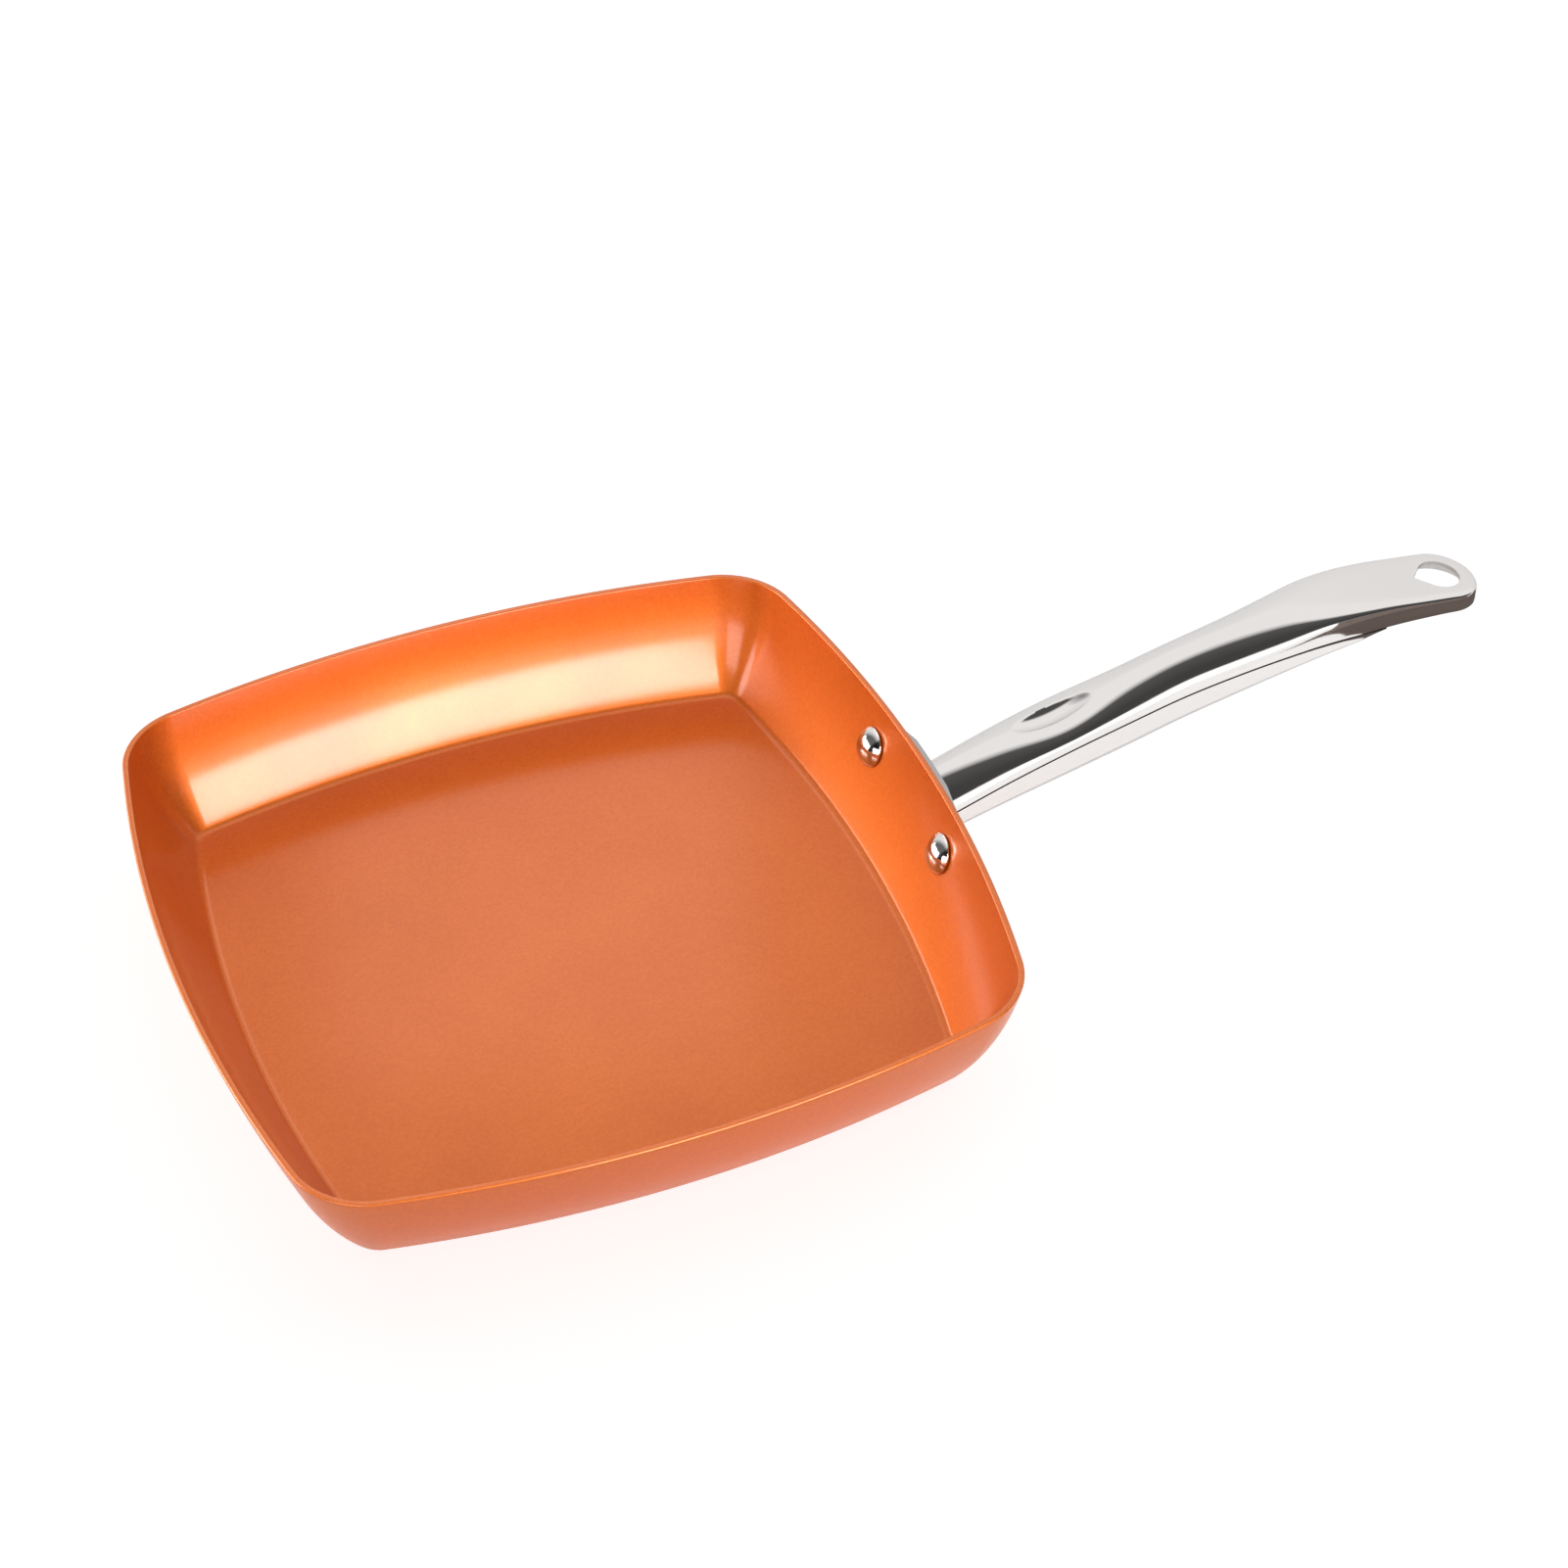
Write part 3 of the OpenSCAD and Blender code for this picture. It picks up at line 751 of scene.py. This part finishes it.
# The surroundings: shares of the way from the front over the top to the back, and the brightness there
BANDS = ((0.0, 1.0), (0.10, 1.0), (0.115, 0.045), (0.22, 0.045), (0.39, 0.075), (0.43, 0.46), (0.47, 0.73),
         (0.72, 0.73), (0.78, 0.68), (1.0, 0.62))
# Directions over which the surroundings change: from the dim left, to the right, ahead, and from low to high
LEFT = (-0.6, -0.35)
RIGHT = (0.44, 0.54)
AHEAD = (0.0, 0.2)
LOW = (0.14, 0.32)


class FRYINGPAN_OT_pan(bpy.types.Operator):
    """Build the coated pan in place of its CAD solid"""

    bl_idname = "fryingpan.pan"
    bl_label = "Pan"

    def execute(self, context):
        piece = finish_piece(build_pan(context.scene.pan_sizes), "coated_pan", coating_finish(),
                             ("pan_body",))
        angle_smooth(piece, degrees=50)
        return {"FINISHED"}


class FRYINGPAN_OT_handle(bpy.types.Operator):
    """Build the two polished shells of the handle"""

    bl_idname = "fryingpan.handle"
    bl_label = "Handle"

    def execute(self, context):
        s = context.scene.handle_sizes
        steel = polished_finish()
        upper = shell(upper_skin(s, 0.0, rows=360, columns=96), upper_skin(s, s.sheet, rows=120, columns=40))
        lower = shell(lower_skin(s, 0.0, rows=200, columns=64), lower_skin(s, s.sheet, rows=80, columns=32))
        upper = finish_piece(upper, "upper_shell", steel, ("handle_upper",))
        lower = finish_piece(lower, "lower_shell", steel, ("handle_lower",))
        cut_away(upper, hole_cutter(s))
        for piece in (upper, lower):
            angle_smooth(piece, degrees=40)
            finish_edges(s, piece)
        return {"FINISHED"}


def hole_cutter(s):
    """The hanging hole: a round bar with a point towards the pan, square to the handle's end"""
    middle = s.tip - s.hole_back
    low, high = (top_height(s, middle + way * s.hole / 2) for way in (-1, 1))
    bm = bmesh.new()
    ring = bmesh.ops.create_circle(bm, cap_ends=True, segments=96, radius=s.hole / 2)["verts"]
    point = math.acos(s.hole / 2 / s.hole_point)
    for vertex in ring:
        off = math.pi - abs(math.atan2(vertex.co.y, vertex.co.x))
        if off < point:
            vertex.co.xy *= 1 / math.cos(point - off)
    top = bmesh.ops.extrude_face_region(bm, geom=bm.faces[:])["geom"]
    bmesh.ops.translate(bm, vec=(0, 0, s.tip_round * 2), verts=new_points(top))
    slope = math.atan2(high - low, s.hole)
    place = (Matrix.Translation((middle, 0.0, (low + high) / 2)) @ Matrix.Rotation(-slope, 4, "Y")
             @ Matrix.Translation((0.0, 0.0, -s.tip_round)))
    bmesh.ops.transform(bm, matrix=place, verts=bm.verts)
    bmesh.ops.recalc_face_normals(bm, faces=bm.faces)
    return bm


def cut_away(piece, cutter):
    """Cuts a closed shape out of a piece"""
    tool = new_object("cutter", cutter)
    spare = (tool.data, piece.data)
    modifier = piece.modifiers.new("cut", "BOOLEAN")
    modifier.operation, modifier.solver, modifier.object = "DIFFERENCE", "EXACT", tool
    piece.data = bpy.data.meshes.new_from_object(piece.evaluated_get(bpy.context.evaluated_depsgraph_get()))
    piece.modifiers.clear()
    bpy.data.objects.remove(tool)
    for mesh in spare:
        bpy.data.meshes.remove(mesh)


def finish_edges(s, piece):
    """Gives the groove between the shells its painted shade, and the hole's edge and the inside a matt finish
    with painted shade and light
    """
    for material in (joint_shade_finish(), cut_shade_and_light_finish()):
        piece.data.materials.append(material)
    hole = Vector((s.tip - s.hole_back, 0.0))
    groove, steep, facing_in = s.seam_edge * 0.7, 0.6, -0.3
    for face in piece.data.polygons:
        seam = section(s, min(face.center.x, s.tip))[1]
        # The hole's wall and the inside get the cut finish with its painted shade and light
        in_hole = (face.center.xy - hole).length < s.hole_point and abs(face.normal.z) < steep
        # Faces along the seam get the groove's painted shade
        in_joint_shade = face.center.x < s.tip - s.lower_back and abs(face.center.z - seam) < groove
        out = face.center - Vector((min(face.center.x, s.tip - s.tip_round), 0.0, seam))
        inside = out.dot(face.normal) < facing_in * out.length
        face.material_index = CUT_SHADE_AND_LIGHT if in_hole or inside else JOINT_SHADE if in_joint_shade else POLISH


class FRYINGPAN_OT_rivets(bpy.types.Operator):
    """Build the two domed rivets through wall and bracket"""

    bl_idname = "fryingpan.rivets"
    bl_label = "Rivets"

    def execute(self, context):
        scene = context.scene
        piece = finish_piece(build_rivets(scene.rivet_sizes, scene.pan_sizes, scene.handle_sizes.bracket),
                             "domed_rivets", rivet_finish(), ("rivets",))
        angle_smooth(piece, degrees=50)
        return {"FINISHED"}


def dome_points(diameter, height, edge, level, way, steps=24, edge_steps=8):
    """Half the section of a dome with a rounded edge, from its edge to its middle, rising from a level"""
    radius = (diameter ** 2 / 4 + height ** 2) / (2 * height)
    # The round of the edge touches the flat underside and the dome from inside
    round_out = math.sqrt((radius - edge) ** 2 - (edge + radius - height) ** 2)
    meet = math.atan2(round_out, edge + radius - height)
    edge_turns = [-math.pi / 2 + (math.pi - meet) * i / edge_steps for i in range(edge_steps + 1)]
    points = [(round_out + edge * math.cos(b), edge + edge * math.sin(b)) for b in edge_turns]
    points += [(radius * math.sin(b), height - radius + radius * math.cos(b))
               for b in [meet * (1 - i / steps) for i in range(1, steps + 1)]]
    return [Vector((out, 0.0, level + way * up)) for out, up in points]


def build_rivets(r, p, bracket, spin_steps=96):
    """Each rivet: a section spun round the line square to the wall at its place"""
    outer, inner = wall_side(p)[1], wall_side(p, inside=True)[1]
    lean_back = math.asin((outer.y - r.height) / p.wall_bow)
    way = Vector((math.cos(lean_back), math.sin(lean_back)))
    at = outer - p.wall_bow * way
    turn = math.asin(r.span / 2 / (p.side_radius - at.x))
    off = at - inner
    wall = -off.dot(way) - math.sqrt(off.dot(way) ** 2 - off.length_squared + p.inner_wall_bow ** 2)
    seat = r.head ** 2 / 8 / p.inner_wall_bow + r.gap / 2
    bm = bmesh.new()
    for side in (-1, 1):
        head = dome_points(r.head, r.head_height, r.edge, -wall - seat, -1)
        tail = dome_points(r.tail, r.tail_height, r.edge, bracket, 1)
        shank = [Vector((r.shank / 2, 0.0, z)) for z in (-wall - seat, bracket)]
        row = [bm.verts.new(point) for point in head[::-1] + shank + tail]
        edges = [bm.edges.new(pair) for pair in zip(row, row[1:])]
        bmesh.ops.spin(bm, geom=row + edges, cent=(0, 0, 0), axis=(0, 0, 1), angle=2 * math.pi,
                       steps=spin_steps, use_merge=True)
        fresh = [v for v in bm.verts if not v.tag]
        bmesh.ops.transform(bm, verts=fresh, matrix=(
            Matrix.Translation((p.half_width - p.side_radius, 0.0, 0.0))
            @ Matrix.Rotation(side * turn, 4, "Z")
            @ Matrix.Translation((p.side_radius - at.x, 0.0, at.y))
            @ Matrix.Rotation(math.pi / 2 + lean_back, 4, "Y")))
        for vertex in fresh:
            vertex.tag = True
    bmesh.ops.remove_doubles(bm, verts=bm.verts, dist=WELD)
    bmesh.ops.recalc_face_normals(bm, faces=bm.faces)
    return bm


class FRYINGPAN_OT_fittings(bpy.types.Operator):
    """Give the bracket and the base disc their finishes"""

    bl_idname = "fryingpan.fittings"
    bl_label = "Bracket and disc"

    def execute(self, context):
        finishes = {"handle_bracket": satin_finish(), "base_disc": disc_finish()}
        for node, material in finishes.items():
            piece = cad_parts[node]
            piece.data.materials.clear()
            piece.data.materials.append(material)
        return {"FINISHED"}


class FRYINGPAN_OT_stage(bpy.types.Operator):
    """Set up the table, lights and camera"""

    bl_idname = "fryingpan.stage"
    bl_label = "Stage"

    def execute(self, context):
        scene = context.scene
        lights = scene.studio
        lay_tables_and_cards(lights)
        scene.world = studio_surroundings(lights)
        lit = bpy.data.collections.new("lit_by_softboxes")
        for name in ("coated_pan", "domed_rivets"):
            lit.objects.link(bpy.data.objects[name])
        for name, setting, place, size in SOFTBOXES:
            softbox(name, Vector(place), getattr(lights, setting), size, lit)
        scene.camera = fitted_camera()
        scene.collection.objects.link(scene.camera)
        scene.view_settings.view_transform = "Standard"
        return {"FINISHED"}


def lay_tables_and_cards(lights):
    """The table that the camera sees, and the paler one and the cards, which it doesn't see"""
    table = flat_card("table", (0.0, 0.0), TABLE_SIZE, LIGHT_TABLE_LEVEL, 0,
                      table_finish("light_table", LIGHT_TABLE_SHADE, LIGHT_TABLE_GLOW))
    bounce = flat_card("table_bounce", (0.0, 0.0), TABLE_SIZE, BOUNCE_LEVEL, 0,
                       table_finish("table_bounce", BOUNCE_SHADE, lights.table_glow))
    # The brown cards are a painted shadow of the handle on the table, seen only in the handle's reflections
    painted_shadow, white = shadow_card_finish(), table_finish("white_card", BOUNCE_SHADE, lights.card_glow)
    cards = [flat_card(*card, material) for card, material in zip(CARDS, (painted_shadow, painted_shadow, white))]
    for card in cards + [bounce]:
        card.visible_camera = card.visible_shadow = False
    for card in cards:
        card.visible_diffuse = card.visible_transmission = False
    table.visible_diffuse = table.visible_glossy = table.visible_shadow = False


def flat_card(name, middle, size, height, turn, material):
    """A flat card of the stage, turned up by an angle in degrees about its middle"""
    bm = bmesh.new()
    bmesh.ops.create_grid(bm, x_segments=2, y_segments=2, size=0.5)
    bmesh.ops.transform(bm, verts=bm.verts, matrix=(
        Matrix.Translation((*middle, height)) @ Matrix.Rotation(math.radians(turn), 4, "X")
        @ Matrix.Diagonal((*size, 1.0, 1.0))))
    card = new_object(name, bm, material)
    return card


def softbox(name, place, power, size, lit):
    """A rectangular soft light that faces the pan and lights only the given pieces"""
    light = bpy.data.lights.new(name, "AREA")
    light.shape, light.energy = "RECTANGLE", power
    light.size, light.size_y = size
    lamp = bpy.data.objects.new(name, light)
    lamp.location = place
    lamp.rotation_euler = (-place).to_track_quat("-Z", "Y").to_euler()
    lamp.light_linking.receiver_collection = lit
    bpy.context.scene.collection.objects.link(lamp)


def fitted_camera():
    """The camera that shows the pan as the photo does"""
    camera = bpy.data.objects.new("camera", bpy.data.cameras.new("camera"))
    camera.data.sensor_width = CAMERA_SENSOR
    camera.data.lens = CAMERA_LENS
    camera.data.clip_start = CAMERA_NEAR
    camera.location = CAMERA_PLACE
    camera.rotation_euler = Euler([math.radians(turn) for turn in CAMERA_TURN])
    return camera


def studio_surroundings(lights):
    """A pale studio that is dark above the camera, and dimmer at the left and low at the front right"""
    f = Finish.of_world(bpy.data.worlds.new("studio"))
    place = f.apart()
    front = f.math("MULTIPLY", place["Y"], -1.0)
    height = f.math("DIVIDE", f.math("ARCTAN2", place["Z"], front), math.pi)
    ramp = f.node("ValToRGB", {"Fac": height})
    band = ramp.color_ramp
    for i, (position, value) in enumerate(BANDS):
        element = band.elements[i] if i < len(band.elements) else band.elements.new(position)
        element.position, element.color = position, (value, value, value, 1.0)
    right, ahead = f.ramp(place["X"], *RIGHT), f.ramp(front, *AHEAD)
    low = f.ramp(place["Z"], *LOW, 1.0 - lights.right_share, 0.0)
    dark = f.math("MULTIPLY", f.math("MULTIPLY", right, ahead), low)
    level = f.math("MULTIPLY", f.ramp(place["X"], *LEFT, lights.left_share, 1.0), lights.surroundings)
    strength = f.math("MULTIPLY", f.math("SUBTRACT", 1.0, dark), level)
    return f.set(Color=ramp.outputs["Color"], Strength=strength)


class FRYINGPAN_PT_panel(bpy.types.Panel):
    """Lists the pieces and their sizes"""

    bl_label = "Square Frying Pan"
    bl_idname = "FRYINGPAN_PT_panel"
    bl_space_type = "VIEW_3D"
    bl_region_type = "UI"
    bl_category = "Frying Pan"

    def draw(self, context):
        for operator in OPERATORS:
            self.layout.operator(operator.bl_idname)
        for key in GROUPS:
            group, box = getattr(context.scene, key), self.layout.box()
            for name in group.bl_rna.properties.keys():
                if name not in {"rna_type", "name"}:
                    box.prop(group, name)


OPERATORS = (FRYINGPAN_OT_pan, FRYINGPAN_OT_handle, FRYINGPAN_OT_rivets, FRYINGPAN_OT_fittings,
             FRYINGPAN_OT_stage)
GROUPS = {"pan_sizes": PanSizes, "handle_sizes": HandleSizes, "rivet_sizes": RivetSizes,
          "pan_colours": PanColours, "studio": Studio}


def register():
    for group in GROUPS.values():
        bpy.utils.register_class(group)
    for name, group in GROUPS.items():
        setattr(bpy.types.Scene, name, PointerProperty(type=group))
    for operator in OPERATORS:
        bpy.utils.register_class(operator)
    bpy.utils.register_class(FRYINGPAN_PT_panel)


def unregister():
    bpy.utils.unregister_class(FRYINGPAN_PT_panel)
    for operator in reversed(OPERATORS):
        bpy.utils.unregister_class(operator)
    for name, group in GROUPS.items():
        delattr(bpy.types.Scene, name)
        bpy.utils.unregister_class(group)


def main():
    register()
    bpy.ops.fryingpan.pan()
    bpy.ops.fryingpan.handle()
    bpy.ops.fryingpan.rivets()
    bpy.ops.fryingpan.fittings()
    bpy.ops.fryingpan.stage()


if __name__ == "__main__":
    main()
